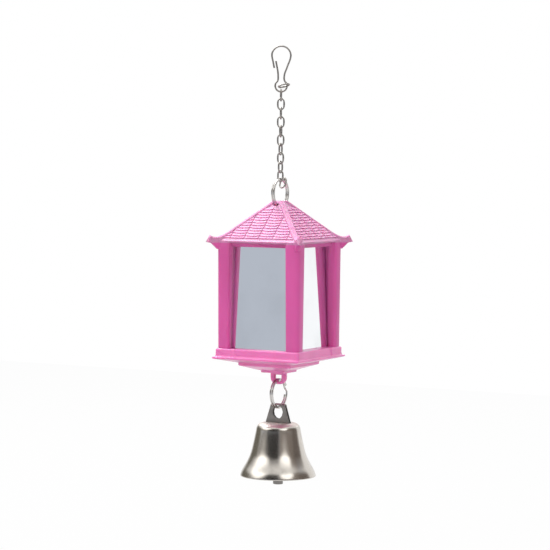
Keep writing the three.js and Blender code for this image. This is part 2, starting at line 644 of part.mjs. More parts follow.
// Hanger: one strip folded over at the top, with a ring hole through both leaves and tongues in the crown.
function hangerGeometry() {
  const outer = HANGER_DEPTH / 2;
  const inner = outer - HANGER_SHEET;
  const endZ = tongueHoleZ - TONGUE_HALF;
  const fold = new THREE.Shape();
  fold.moveTo(outer, endZ - SINK);
  fold.absarc(0, hangerTopZ - outer, outer, 0, Math.PI);
  fold.lineTo(-outer, endZ - SINK);
  fold.lineTo(-inner, endZ - SINK);
  fold.absarc(0, hangerTopZ - outer, inner, Math.PI, 0, true);
  fold.lineTo(inner, endZ - SINK);
  const width = 2 * (HANGER_FOOT_HALF + SINK);
  const strip = new THREE.ExtrudeGeometry(fold, { depth: width, bevelEnabled: false, curveSegments: 6 })
    .translate(0, 0, -width / 2)
    .rotateX(Math.PI / 2)
    .rotateZ(Math.PI / 2);

  const face = new THREE.Shape();
  face.moveTo(-HANGER_FOOT_HALF, GAP);
  face.lineTo(-TONGUE_HALF, GAP);
  face.lineTo(-TONGUE_HALF, tongueHoleZ);
  face.absarc(0, tongueHoleZ, TONGUE_HALF, Math.PI, 2 * Math.PI);
  face.lineTo(TONGUE_HALF, GAP);
  face.lineTo(HANGER_FOOT_HALF, GAP);
  face.lineTo(HANGER_TOP_HALF, hangerTopZ - HANGER_CORNER);
  face.quadraticCurveTo(HANGER_TOP_HALF, hangerTopZ, HANGER_TOP_HALF - HANGER_CORNER, hangerTopZ);
  face.lineTo(HANGER_CORNER - HANGER_TOP_HALF, hangerTopZ);
  face.quadraticCurveTo(-HANGER_TOP_HALF, hangerTopZ, -HANGER_TOP_HALF, hangerTopZ - HANGER_CORNER);
  const ringHole = new THREE.Path();
  const holeZ = GAP + HANGER_SILL + HANGER_HOLE_HEIGHT / 2;
  ringHole.absellipse(0, holeZ, HANGER_HOLE_WIDTH / 2, HANGER_HOLE_HEIGHT / 2, 0, 2 * Math.PI);
  const wireHole = new THREE.Path().absarc(0, tongueHoleZ, TONGUE_HOLE_R, 0, 2 * Math.PI);
  face.holes.push(ringHole, wireHole);
  const depth = HANGER_DEPTH + 2 * SINK;
  const plate = new THREE.ExtrudeGeometry(face, { depth, bevelEnabled: false, curveSegments: 6 })
    .translate(0, 0, -depth / 2)
    .rotateX(Math.PI / 2);
  return geometryOf(solid(strip).intersect(solid(plate)));
}

// Clapper: a wire hooked through the tongues, with a drilled slug on its lower end

const clapperFootZ = rimZ - CLAPPER_BELOW_RIM;
const clapperTopZ = clapperFootZ + CLAPPER_LENGTH;

function clapperWireGeometry() {
  const side = HANGER_DEPTH / 2 + GAP + CLAPPER_WIRE / 2;
  const underZ = tongueHoleZ - TONGUE_HALF - GAP - CLAPPER_WIRE;
  const endZ = clapperTopZ - CLAPPER_SOCKET;
  const route = [
    v3(0, side, tongueHoleZ - CLAPPER_HOOK_NOSE),
    v3(0, side, tongueHoleZ - CLAPPER_WIRE),
    v3(0, side - CLAPPER_WIRE / 2, tongueHoleZ - CLAPPER_WIRE / 4),
    v3(0, side / 3, tongueHoleZ),
    v3(0, -side / 3, tongueHoleZ),
    v3(0, CLAPPER_WIRE / 2 - side, tongueHoleZ - CLAPPER_WIRE / 4),
    v3(0, -side, tongueHoleZ - CLAPPER_WIRE),
    v3(0, -side, underZ + CLAPPER_WIRE),
    v3(0, -side / 2, underZ - CLAPPER_WIRE / 2),
    v3(0, 0, underZ - 2 * CLAPPER_WIRE),
    v3(0, 0, (underZ + endZ) / 2),
    v3(0, 0, endZ),
  ];
  return wire(route, CLAPPER_WIRE, CLAPPER_STEPS);
}

function clapperGeometry() {
  const socketR = CLAPPER_WIRE / 2 + GAP;
  const profile = [
    v2(0, 0),
    v2(CLAPPER_R - CLAPPER_CHAMFER, 0),
    v2(CLAPPER_R, CLAPPER_CHAMFER),
    v2(CLAPPER_R, CLAPPER_LENGTH - CLAPPER_CHAMFER),
    v2(CLAPPER_R - CLAPPER_CHAMFER, CLAPPER_LENGTH),
    v2(socketR, CLAPPER_LENGTH),
    v2(socketR, CLAPPER_LENGTH - CLAPPER_SOCKET - GAP),
    v2(0, CLAPPER_LENGTH - CLAPPER_SOCKET - GAP),
  ];
  return new THREE.LatheGeometry(profile, CLAPPER_SIDES).rotateX(Math.PI / 2).translate(0, 0, clapperFootZ);
}

// Assembly

const toy = new THREE.Group();

function place(parent, name, geometry, material, z = 0, yaw = 0) {
  const mesh = new THREE.Mesh(geometry, material);
  mesh.name = name;
  mesh.position.z = z;
  mesh.rotation.z = rad(yaw);
  parent.add(mesh);
}

function placeRing(name, splitAt, z) {
  const loops = ringCoil(splitAt);
  console.log(`${name}: least gap between turns ${leastGap(loops).toFixed(2)} mm`);
  place(toy, name, loft(loops), steel, z, RING_YAW);
}

place(toy, 'hook', hookGeometry(), steel, 0, HOOK_YAW);
const startLink = linkGeometry()
  .translate(0, 0, HOOK_WIRE / 2 + START_LINK_PLAY)
  .rotateZ(rad(START_LINK_ROLL))
  .rotateY(rad(90 - START_LINK_DIP))
  .rotateZ(rad(START_LINK_TURN))
  .translate(HOOK_EYE_R * Math.cos(rad(START_LINK_UP)), 0, HOOK_EYE_R * Math.sin(rad(START_LINK_UP)));
place(toy, 'start_link', startLink, steel, eyeZ, HOOK_YAW);
for (let i = 0; i < LINK_COUNT; i += 1) {
  place(toy, `link_${String(i + 1).padStart(2, '0')}`, linkGeometry(), steel, linkTopZ(i), linkYaw(i));
}
placeRing('top_ring', TOP_RING_SPLIT_AT, topRingZ);
const endLink = linkGeometry().translate(0, 0, RING_OUTER_R + RING_PLAY).rotateX(rad(END_LINK_LEAN));
place(toy, 'end_link', endLink, steel, topRingZ, RING_YAW);

const lantern = new THREE.Group();
lantern.position.z = lanternZ;
toy.add(lantern);
place(lantern, 'pagoda_frame', frameGeometry(), pink);
['mirror_front', 'mirror_right', 'mirror_back', 'mirror_left'].forEach((name, k) => {
  place(lantern, name, mirrorGeometry(), silvered, 0, 90 * k);
});
place(lantern, 'base', baseGeometry(), pink);

placeRing('bottom_ring', BOTTOM_RING_SPLIT_AT, bottomRingZ);

const bell = new THREE.Group();
bell.position.z = crownZ;
toy.add(bell);
place(bell, 'bell_hanger', hangerGeometry(), steel);
place(bell, 'bell_shell', bellGeometry(), nickel);
place(bell, 'clapper_wire', clapperWireGeometry(), steel);
place(bell, 'clapper', clapperGeometry(), steel);

export default toy;
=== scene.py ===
"""Hanging bird mirror toy: wire hook, chain, split rings, pagoda lantern with mirrors, and bell.

Dresses the packed model: wire work is drawn as smooth wire, mouldings get softened edges,
the bell is raised from rings, and every surface gets its own finish.
"""

import math
import bmesh
import bpy
from bpy.props import FloatProperty, FloatVectorProperty, IntProperty, PointerProperty
from mathutils import Matrix, Vector


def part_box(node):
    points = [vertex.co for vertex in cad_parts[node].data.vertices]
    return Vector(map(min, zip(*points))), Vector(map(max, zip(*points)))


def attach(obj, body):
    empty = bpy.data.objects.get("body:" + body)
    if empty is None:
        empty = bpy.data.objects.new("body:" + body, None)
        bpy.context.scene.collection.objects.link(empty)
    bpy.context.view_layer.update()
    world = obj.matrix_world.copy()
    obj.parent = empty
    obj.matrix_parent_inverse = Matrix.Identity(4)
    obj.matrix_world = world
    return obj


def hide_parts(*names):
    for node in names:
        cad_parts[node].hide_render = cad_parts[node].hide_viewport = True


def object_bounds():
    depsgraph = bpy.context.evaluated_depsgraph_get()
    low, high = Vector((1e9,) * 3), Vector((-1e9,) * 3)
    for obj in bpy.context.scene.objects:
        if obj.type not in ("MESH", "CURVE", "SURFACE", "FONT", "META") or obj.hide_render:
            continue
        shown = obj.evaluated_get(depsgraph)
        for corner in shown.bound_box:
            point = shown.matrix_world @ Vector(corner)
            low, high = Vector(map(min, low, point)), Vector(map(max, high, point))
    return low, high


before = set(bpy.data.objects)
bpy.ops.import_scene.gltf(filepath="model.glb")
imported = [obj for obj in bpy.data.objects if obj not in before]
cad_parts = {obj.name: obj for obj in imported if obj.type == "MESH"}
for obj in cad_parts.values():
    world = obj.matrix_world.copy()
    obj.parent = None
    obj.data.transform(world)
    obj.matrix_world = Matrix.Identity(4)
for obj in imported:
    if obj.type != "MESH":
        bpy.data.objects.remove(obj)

bl_info = {
    "name": "Bird Mirror Toy",
    "version": (1, 0, 0),
    "blender": (4, 5, 0),
    "location": "View3D > Sidebar > Bird Toy",
    "description": "Models and finishes a hanging mirror toy with chain and bell",
    "category": "Object",
}

MM = 0.001
CAD_BOX = [list(corner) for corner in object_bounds()]
LINKS = [f"link_{i:02d}" for i in range(1, 11)]
MIRRORS = ("mirror_front", "mirror_right", "mirror_back", "mirror_left")
X_AXIS, Y_AXIS, Z_AXIS = Vector((1, 0, 0)), Vector((0, 1, 0)), Vector((0, 0, 1))


def length(name, default_mm, description):
    """A length property whose default is given in millimetres."""
    settings = {"min": 0.0, "precision": 5, "unit": "LENGTH", "subtype": "DISTANCE"}
    return FloatProperty(name=name, description=description, default=default_mm * MM, **settings)


def angle(name, default_degrees, description):
    """An angle property whose default is given in degrees."""
    settings = {"default": math.radians(default_degrees), "unit": "ROTATION", "subtype": "ANGLE"}
    return FloatProperty(name=name, description=description, **settings)


def number(name, default, description):
    """A plain number property."""
    return FloatProperty(name=name, description=description, default=default)


def count(name, default, description):
    """A whole number property."""
    return IntProperty(name=name, description=description, default=default, min=1)


def colour(name, default, description):
    """A linear colour property."""
    settings = {"size": 3, "min": 0.0, "max": 1.0, "subtype": "COLOR"}
    return FloatVectorProperty(name=name, description=description, default=default, **settings)


class WireSizes(bpy.types.PropertyGroup):
    """Sizes of the bent wire pieces"""

    hook_yaw: angle("Hook turn", 29.5, "Turn about the hanging line")
    hook_wire: length("Hook wire", 0.9, "Diameter of the hook's wire")
    bow_radius: length("Bow radius", 4.9, "Radius to its wire's middle")
    bow_tilt: angle("Bow tilt", 8, "Lean of the bow's half circle")
    nose_drop: length("Nose drop", 6.4, "From the bow's middle to the nose's tip")
    nose_lean: length("Nose lean", 1.3, "How far the nose turns in")
    leg_length: length("Leg length", 10.9, "From the bow's middle to the neck")
    neck_half: length("Neck half width", 1.55, "Half the neck's width")
    eye_radius: length("Eye radius", 3.05, "Radius of the lower eye, to its wire's middle")
    eye_drop: length("Eye drop", 4.7, "From the neck to the eye's middle")
    eye_mouth: angle("Eye mouth", 38, "Open angle each side of the eye's top")
    spring_out: length("Spring tip out", 2.75, "Lean of the spring leg's tip")
    spring_drop: length("Spring tip drop", 2.8, "From the bow's middle to the spring leg's tip")
    link_wire: length("Link wire", 0.9, "Diameter of the chain's wire")
    link_length: length("Link length", 4.95, "Inside length of a link")
    link_width: length("Link width", 2.4, "Inside width of a link")
    link_pinch: number("Link pinch", 0.3, "How much a link narrows at its ends")
    link_twist: angle("Chain twist", -5, "Turn from link to link")
    link_play: length("Link play", 0.3, "Play between linked pieces")
    weld_swell: number("Weld swell", 1.1, "Thickness of a weld over its wire")
    ring_yaw: angle("Ring turn", -1, "Turn about the hanging line")
    ring_radius: length("Ring radius", 8, "Outer radius of a ring")
    ring_radial: length("Ring wire width", 1.24, "Width of the flat wire, along the radius")
    ring_axial: length("Ring wire thickness", 0.68, "Thickness of the flat wire")
    ring_gap: length("Ring gap", 0.45, "Gap between a ring's two turns")
    ring_split: angle("Ring split", 40, "Angle where only one turn runs")
    ring_steps: count("Ring steps", 84, "Cuts round each turn")
    ring_step_cuts: count("Ring step cuts", 8, "Cuts in the step to the other turn")
    ring_play: length("Ring play", 0.4, "Play to what hangs on a ring")
    start_link_up: angle("Loose link place", 8.5, "Place up the right of the hook's eye")
    start_link_dip: angle("Loose link dip", 10, "How far it dips")
    start_link_roll: angle("Loose link roll", 65, "Turn about its length")
    start_link_turn: angle("Loose link turn", 20, "Turn about the hanging line")
    start_link_play: length("Loose link play", 0.35, "Play to the eye's wire")
    end_link_lean: angle("Spare link lean", -27, "Place round the upper ring")
    clapper_wire: length("Clapper wire", 1.0, "Diameter of the clapper's wire")


class BellSizes(bpy.types.PropertyGroup):
    """Sizes of the bell and its clapper"""

    sheet: length("Sheet", 0.7, "Thickness of the wall")
    crown_radius: length("Crown radius", 7.2, "Radius of the flat crown")
    shoulder_radius: length("Shoulder radius", 11, "Radius under the rounded shoulder")
    shoulder_drop: length("Shoulder drop", 3.5, "Height of the rounded shoulder")
    rim_radius: length("Rim radius", 19.2, "Radius at the mouth")
    height: length("Height", 27.4, "From the crown to the mouth")
    sides: count("Sides", 96, "Points round the bell")
    slug_radius: length("Clapper radius", 2.6, "Radius of the slug")
    slug_length: length("Clapper length", 8, "Length of the slug")
    slug_chamfer: length("Clapper chamfer", 0.3, "Chamfer of the slug's ends")
    slug_socket: length("Clapper socket", 3.8, "Depth of the wire's hole")
    stem_eye: length("Clapper eye", 3.3, "Height of the eye in the clapper's wire")
    slot_width: length("Slot width", 4.6, "Width of the crown's slot")
    slot_depth: length("Slot depth", 3, "The slot from front to back")


class BaseSizes(bpy.types.PropertyGroup):
    """Sizes of the base's plinth and of its roundings"""

    plinth_half: length("Plinth", 24.3, "Half the plinth's width")
    block_half: length("Blocks", 24.65, "Half the width over the corner blocks")
    block_reach: length("Block reach", 12.15, "From a side's middle to its blocks")
    block_ease: length("Block ease", 0.6, "Length of the slope from a block")
    curb_height: length("Curb height", 2.6, "Height over the plinth")
    plinth_height: length("Plinth height", 4.5, "From the lip to the plinth's top")
    corner_round: length("Corner rounding", 2.2, "Rounding of the blocks' corners")
    rim_round: length("Rim rounding", 0.8, "Rounding of the plinth's top")
    foot_rise: length("Foot rise", 1.6, "Height of the curve at the lip")
    foot_out: length("Foot out", 0.72, "How far it comes out over the lip")
    edge: length("Edge", 0.35, "Softening of the lower edges")
    tab_height: length("Tab height", 6, "Height of the eye, which is round already")


class FinishSettings(bpy.types.PropertyGroup):
    """Colours and gloss of the finishes, and sizes of tiles, mirror seats and plate edges"""

    pink: colour("Pink", (0.75, 0.112, 0.41), "Main colour of the posts")
    pink_deep: colour("Deep pink", (0.68, 0.097, 0.36), "The same, where the dye is denser")
    # The roof's paler pink is a painted sheen: it stands in for the top light's gloss on the tiles
    roof_sheen_pink: colour("Roof pink", (0.64, 0.265, 0.46), "Colour of the roof, bleached by the light")
    # The base's pink is lighter than the posts' to stand in for the light that falls on the base:
    # painted light
    base_pink: colour("Base pink", (0.92, 0.215, 0.55), "Colour of the base, a lighter batch")
    lit_base_pink_deep: colour("Base deep pink", (0.86, 0.19, 0.5), "The same, where the dye is denser")
    gloss: number("Gloss", 0.2, "Clear coat of the roof and posts")
    base_gloss: number("Base gloss", 0.7, "Clear coat of the base")
    wire: colour("Wire", (0.36, 0.34, 0.32), "Plated wire")
    ring: colour("Ring", (0.64, 0.62, 0.6), "Bright plate of the rings")
    plate: colour("Plate", (0.29, 0.275, 0.26), "Dull plate of hanger and clapper")
    nickel: colour("Nickel", (0.66, 0.62, 0.57), "Bright plate of the bell")
    silver: colour("Silver", (0.93, 0.95, 0.97), "Silvering of the mirrors")
    tiled_height: length("Tiled height", 20.4, "Height of the tiles under the peak")
    tile_width: length("Tile width", 8.3, "Width of a column of tiles")
    seam: length("Seam", 0.5, "Width between two columns")
    seam_shade: number("Seam shade", 0.25, "How dark the seams are")
    mirror_play: length("Mirror play", 0.27, "Play of the solids that the sheets take up")
    plate_edge: length("Plate edge", 0.1, "Softening of the hanger's stamped edges")


class StageSettings(bpy.types.PropertyGroup):
    """Camera, floor and the room's light"""

    azimuth: angle("Azimuth", 29.5, "Turn about the hanging line")
    elevation: angle("Elevation", 3.15, "Height over the picture's middle")
    roll: angle("Roll", 0.45, "Turn about the camera's own axis")
    distance: length("Distance", 1200, "From the camera to the hanging line")
    pixel: length("Pixel", 0.52, "Size of a pixel at the hanging line")
    picture: count("Picture", 550, "Pixels along each side")
    aim_down: length("Aim down", 118.1, "From the hang point to the picture's middle")
    aim_left: length("Aim left", 2.4, "From the hanging line to the picture's middle")
    floor_drop: length("Floor drop", 48, "From the clapper down to the floor")
    floor_half: length("Floor half side", 900, "Half the side of the floor")
    floor_tone: colour("Floor", (0.45, 0.45, 0.45), "Colour of the floor")
    room_light: number("Room light", 0.5, "Light from the walls")
    ceiling_light: number("Ceiling light", 0.55, "Light from the ceiling")
    ground_light: number("Ground light", 0.5, "Light from below the horizon")


def wire_sizes():
    return bpy.context.scene.toy_wires


def bell_sizes():
    return bpy.context.scene.toy_bell


def finishes():
    return bpy.context.scene.toy_finish


# Modelling helpers

CLOSE = 0.02 * MM  # Points nearer than this count as one place
NODE_MERGE = 0.002 * MM  # Points of a CAD node nearer than this are merged
WIRE_MERGE = 0.001 * MM  # The same for a drawn wire
WIRE_STEPS = 8  # Rings of points from one knot of a wire to the next
WIRE_ENDS = ((0.16, 0.12), (0.14, 0.05))  # Insets and depths of a wire's end, by its diameter


def near(a, b):
    """Whether a is at b or at -b."""
    return abs(abs(a) - b) < CLOSE


def half_width(point):
    """How far a point lies from the hanging line, along X or Y."""
    return max(abs(point.x), abs(point.y))


def deselect():
    bpy.ops.object.select_all(action="DESELECT")


def added(name, data):
    """A new object in the scene."""
    obj = bpy.data.objects.new(name, data)
    bpy.context.scene.collection.objects.link(obj)
    return obj


def only(obj):
    """Makes obj the one selected and active object."""
    deselect()
    obj.select_set(True)
    bpy.context.view_layer.objects.active = obj


def edit(obj):
    only(obj)
    bpy.ops.object.mode_set(mode="EDIT")


def leave_edit():
    bpy.ops.object.mode_set(mode="OBJECT")


def select_mesh():
    bpy.ops.mesh.select_all(action="SELECT")


def pick(obj, kind, test):
    """In edit mode, selects the vertices, edges or faces that pass the test."""
    bpy.ops.mesh.select_mode(type=kind)
    bpy.ops.mesh.select_all(action="DESELECT")
    leave_edit()
    items = {"VERT": obj.data.vertices, "EDGE": obj.data.edges, "FACE": obj.data.polygons}[kind]
    for item in items:
        item.select = test(item)
    bpy.ops.object.mode_set(mode="EDIT")


def modify(obj, kind, **settings):
    """Adds a modifier, sets it and applies it."""
    only(obj)
    modifier = obj.modifiers.new(kind.title(), kind)
    for key, value in settings.items():
        setattr(modifier, key, value)
    bpy.ops.object.modifier_apply(modifier=modifier.name)


def smooth(obj, degrees):
    """Shades smoothly, apart from edges sharper than the angle."""
    only(obj)
    bpy.ops.object.shade_smooth_by_angle(angle=math.radians(degrees))


def settle(obj):
    """Puts the object's place into its mesh."""
    only(obj)
    bpy.ops.object.transform_apply(location=True, rotation=True, scale=True)


def dress(obj, name, body, slot, finish, *nodes):
    """Names a finished piece, gives it its finish, and lets it ride in place of its nodes."""
    obj.name = name
    obj.data.name = name
    obj.data.materials.clear()
    obj.data.materials.append(finish)
    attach(obj, body)
    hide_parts(*nodes)


def node_copy(node):
    """A merged copy of a CAD node."""
    obj = added(node + "_copy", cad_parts[node].data.copy())
    edit(obj)
    select_mesh()
    bpy.ops.mesh.remove_doubles(threshold=NODE_MERGE)
    leave_edit()
    return obj


def arc(centre_z, radius, start, end, steps):
    """Points (x, z) round a centre on the hanging line."""
    turns = [start + (end - start) * i / steps for i in range(steps + 1)]
    return [(radius * math.cos(turn), centre_z + radius * math.sin(turn)) for turn in turns]


def drawn_wire(points, diameter):
    """A round wire through the points, as a closed mesh with rounded ends."""
    deselect()
    bpy.ops.curve.primitive_bezier_curve_add()
    obj = bpy.context.object
    obj.matrix_world = Matrix.Identity(4)
    path = obj.data
    path.dimensions = "3D"
    path.splines.clear()
    spline = path.splines.new("BEZIER")
    spline.bezier_points.add(len(points) - 1)
    for knot, place in zip(spline.bezier_points, points):
        knot.co = place
        knot.handle_left_type = knot.handle_right_type = "AUTO"
    path.resolution_u = WIRE_STEPS
    path.bevel_depth = diameter / 2
    path.bevel_resolution = 4
    path.use_fill_caps = True
    only(obj)
    bpy.ops.object.convert(target="MESH")
    obj = bpy.context.object
    edit(obj)
    select_mesh()
    bpy.ops.mesh.remove_doubles(threshold=WIRE_MERGE)
    pick(obj, "FACE", lambda face: len(face.vertices) > 4)
    for inset, depth in WIRE_ENDS:
        bpy.ops.mesh.inset(thickness=diameter * inset, depth=diameter * depth)
    leave_edit()
    smooth(obj, degrees=60)
    return obj


def placed(obj, matrix):
    """Moves a piece's mesh, so that its object stays at the origin."""
    obj.data.transform(matrix)
    obj.data.update()
    return obj


def copied(obj):
    return added(obj.name + "_twin", obj.data.copy())


def turn_z(radians):
    return Matrix.Rotation(radians, 4, "Z")


def up_to(z):
    return Matrix.Translation((0, 0, z))


def middle_of(node):
    low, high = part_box(node)
    return (Vector(low) + Vector(high)) / 2


# Shader maths


class Term:
    """A socket that can stand in a sum or a product."""

    def __init__(self, paint, socket):
        self.paint, self.socket = paint, socket

    def __add__(self, other):
        return self.paint.maths("ADD", self, other)

    def __mul__(self, other):
        return self.paint.maths("MULTIPLY", self, other)

    __radd__ = __add__
    __rmul__ = __mul__


class Paint:
    """Adds nodes to one tree."""

    def __init__(self, tree):
        self.tree = tree
        tree.nodes.clear()

    def feed(self, socket, value):
        if isinstance(value, Term):
            self.tree.links.new(value.socket, socket)
        elif isinstance(value, bpy.types.NodeSocket):
            self.tree.links.new(value, socket)
        elif socket.type == "RGBA" and len(value) == 3:
            socket.default_value = (*value, 1.0)
        else:
            socket.default_value = value

    def node(self, kind, sockets=None, **settings):
        made = self.tree.nodes.new(kind)
        for key, value in settings.items():
            setattr(made, key, value)
        for key, value in (sockets or {}).items():
            self.feed(made.inputs[key], value)
        return made

    def term(self, kind, sockets=None, output=0, **settings):
        return Term(self, self.node(kind, sockets, **settings).outputs[output])

    def maths(self, operation, a, b):
        return self.term("ShaderNodeMath", {0: a, 1: b}, operation=operation)

    def place(self):
        return self.term("ShaderNodeTexCoord", output="Object")

    def axes(self):
        split = self.node("ShaderNodeSeparateXYZ", {0: self.place()})
        return [Term(self, output) for output in split.outputs]

    def noise(self, scale, detail=3.0, stretch=None):
        vector = self.place()
        if stretch:
            vector = self.term("ShaderNodeMapping", {"Vector": vector, "Scale": stretch})
        sockets = {"Vector": vector, "Scale": scale, "Detail": detail}
        return self.term("ShaderNodeTexNoise", sockets)

    def blend(self, factor, a, b):
        return self.term("ShaderNodeMix", {0: factor, 6: a, 7: b}, output=2, data_type="RGBA")

    def ease(self, value, start, end, low=0.0, high=1.0):
        sockets = {"Value": value, "From Min": start, "From Max": end}
        sockets.update({"To Min": low, "To Max": high})
        return self.term("ShaderNodeMapRange", sockets, interpolation_type="SMOOTHSTEP")

    def rays(self, *kinds):
        """Whether a ray is of one of the kinds."""
        path = self.node("ShaderNodeLightPath")
        return sum(Term(self, path.outputs[f"Is {kind} Ray"]) for kind in kinds)

    def bump(self, height, strength, distance):
        sockets = {"Strength": strength, "Distance": distance, "Height": height}
        return self.term("ShaderNodeBump", sockets)

    def surface(self, sockets):
        shader = self.node("ShaderNodeBsdfPrincipled", sockets)
        self.node("ShaderNodeOutputMaterial", {"Surface": shader.outputs[0]})


def new_finish(name):
    finish = bpy.data.materials.get(name)
    if finish:
        return finish, None
    finish = bpy.data.materials.new(name)
    finish.use_nodes = True
    return finish, Paint(finish.node_tree)


ROOF_BAND = (0.0, 1.5 * MM)  # Where the tiles' finish starts and is full, above the eave
SHEEN_BAND = (-1.7 * MM, -0.9 * MM)  # The same for the roof's paler pink, a painted sheen of the top light
SEAM_SHADE_TONE = 0.4  # Painted shade in the seams between columns of tiles, as a share of the deep pink
ROOF_ROUGH = 0.25  # How much rougher the tiles are than the posts


def eave_z():
    """Height of the eave under the tiles."""
    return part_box("pagoda_frame")[1][2] - finishes().tiled_height


def tiled_roof(paint):
    """The shares of paler pink for the painted sheen, of tiles, and of seam between two columns of
    tiles, where shade is painted.
    """
    settings = finishes()
    x, y, z = paint.axes()
    along_eave = paint.maths("MINIMUM", *(paint.maths("ABSOLUTE", axis, 0.0) for axis in (x, y)))
    off = paint.maths("PINGPONG", along_eave, settings.tile_width / 2)
    eave = eave_z()
    roof = paint.ease(z, eave + ROOF_BAND[0], eave + ROOF_BAND[1])
    painted_sheen = paint.ease(z, eave + SHEEN_BAND[0], eave + SHEEN_BAND[1])
    return painted_sheen, roof, roof * paint.ease(off, settings.seam, settings.seam / 2)


def moulding(name, tone, deep, gloss, tiled=False):
    """Moulded styrene: faint flow marks in the dye, glossy skin, a little light inside; a tiled
    roof also gets a painted sheen and painted shade in its seams.
    """
    finish, paint = new_finish(name)
    if paint:
        flow = paint.noise(55.0, stretch=(1.0, 1.0, 0.35))
        grain = paint.noise(1400.0, detail=2.0)
        dye = paint.blend(paint.ease(flow, 0.35, 0.7), tuple(tone), tuple(deep))
        rough = 0.3 + 0.12 * grain + 0.06 * flow
        if tiled:
            painted_sheen, roof, seam = tiled_roof(paint)
            # Darker pink in the seams between columns of tiles: painted shade
            seam_shadow = tuple(SEAM_SHADE_TONE * c for c in deep)
            # Paler pink over the roof: painted sheen
            dye = paint.blend(painted_sheen, dye, tuple(finishes().roof_sheen_pink))
            dye = paint.blend(finishes().seam_shade * seam, dye, seam_shadow)
            rough = rough + ROOF_ROUGH * roof
        paint.surface(
            {
                "Base Color": dye,
                "Roughness": rough,
                "Normal": paint.bump(grain, strength=0.12, distance=0.06 * MM),
                "Subsurface Weight": 0.6,
                "Subsurface Radius": (1.0, 0.35, 0.6),
                "Subsurface Scale": 1.5 * MM,
                "Specular IOR Level": 0.5,
                "Coat Weight": gloss,
                "Coat Roughness": 0.5 - 0.4 * gloss,
            }
        )
    return finish


def lantern_pink():
    tones = finishes()
    return moulding("lantern_pink", tones.pink, tones.pink_deep, tones.gloss, tiled=True)


# A lighter copy of the posts' pink: painted light on the base
def base_pink():
    tones = finishes()
    return moulding("base_pink", tones.base_pink, tones.lit_base_pink_deep, tones.base_gloss)


WORN_TONE, HAZE_TONE = 0.84, 0.93  # Tones of worn plate and hazed mirror, by the clean tone
DULL_FADE, DULL_ROUGH = 0.5 * MM, 0.3  # How soon plate turns dull at a height, and how rough
DULL_CROWN = 0.3 * MM  # How far down from its top the bell is dull


def plated(name, tone, rough, spread, streak=(1.0, 1.0, 1.0), wobble=0.0, dull_above=None):
    """Plated metal with drawn streaks, worn dull in places and above a height."""
    finish, paint = new_finish(name)
    if paint:
        streaks = paint.noise(700.0, stretch=streak)
        cloud = paint.noise(160.0, detail=4.0)
        worn = tuple(WORN_TONE * c for c in tone)
        rough = rough + spread * streaks + spread * cloud
        if dull_above is not None:
            z = paint.axes()[2]
            rough = rough + DULL_ROUGH * paint.ease(z, dull_above - DULL_FADE, dull_above)
        paint.surface(
            {
                "Base Color": paint.blend(paint.ease(cloud, 0.45, 0.75), tuple(tone), worn),
                "Metallic": 1.0,
                "Roughness": rough,
                "Normal": paint.bump(
                    0.012 * streaks + wobble * cloud, strength=1.0, distance=0.04 * MM
                ),
            }
        )
    return finish


def silvering():
    """Mirror sheet with a faint film on it."""
    finish, paint = new_finish("silvering")
    if paint:
        film = paint.noise(45.0, detail=4.0)
        tone = tuple(finishes().silver)
        hazed = tuple(HAZE_TONE * c for c in tone)
        paint.surface(
            {
                "Base Color": paint.blend(paint.ease(film, 0.4, 0.8), tone, hazed),
                "Metallic": 1.0,
                "Roughness": 0.015 + 0.03 * paint.ease(film, 0.5, 0.8),
            }
        )
    return finish


def wire_finish():
    return plated("plated_wire", finishes().wire, rough=0.3, spread=0.06)


def ring_finish():
    return plated("ring_plate", finishes().ring, rough=0.12, spread=0.05)


def plate_finish():
    return plated("dull_plate", finishes().plate, rough=0.3, spread=0.14)


def bell_finish():
    return plated(
        "bell_nickel",
        finishes().nickel,
        rough=0.17,
        spread=0.05,
        streak=(1.0, 1.0, 0.2),
        wobble=0.5,
        dull_above=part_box("bell_shell")[1][2] - DULL_CROWN,
    )


# Pieces


def hook_eye_z():
    """Height of the middle of the hook's lower eye."""
    wire = wire_sizes()
    return wire.hook_wire / 2 - wire.bow_radius - wire.leg_length - wire.eye_drop


class BIRD_OT_hook(bpy.types.Operator):
    """Bends the hook from one wire"""

    bl_idname = "bird_toy.hook"
    bl_label = "Hook"

    def execute(self, context):
        wire = wire_sizes()
        bow_z = wire.hook_wire / 2 - wire.bow_radius
        neck_z = bow_z - wire.leg_length
        eye_z = hook_eye_z()
        nose = (wire.nose_lean - wire.bow_radius, bow_z - wire.nose_drop)
        right = math.pi / 2
        bow_ends = (math.pi - wire.bow_tilt, -wire.bow_tilt)
        bow = arc(bow_z, wire.bow_radius, *bow_ends, steps=10)
        eye_ends = (right - wire.eye_mouth, wire.eye_mouth - 3 * right)
        eye = arc(eye_z, wire.eye_radius, *eye_ends, steps=14)
        outline = [
            nose,
            ((nose[0] - wire.bow_radius) / 2, (nose[1] + bow_z) / 2),
            *bow,
            ((wire.bow_radius + wire.neck_half) / 2, (bow_z + neck_z) / 2),
            (wire.neck_half, neck_z),
            *eye,
            (-wire.neck_half, neck_z),
            (-wire.spring_out, bow_z - wire.spring_drop),
        ]
        hook = drawn_wire([(x, 0, z) for x, z in outline], wire.hook_wire)
        placed(hook, turn_z(wire.hook_yaw))
        dress(hook, "hook_wire", "hook", "wire_steel", wire_finish(), "hook")
        return {"FINISHED"}


LINK_STEPS, LINK_SIDES, WELD_CUTS = 40, 14, 5  # Points round a link, its wire, and along a side
WELD_REACH = 0.35  # Half the length of a weld, by the wire's diameter


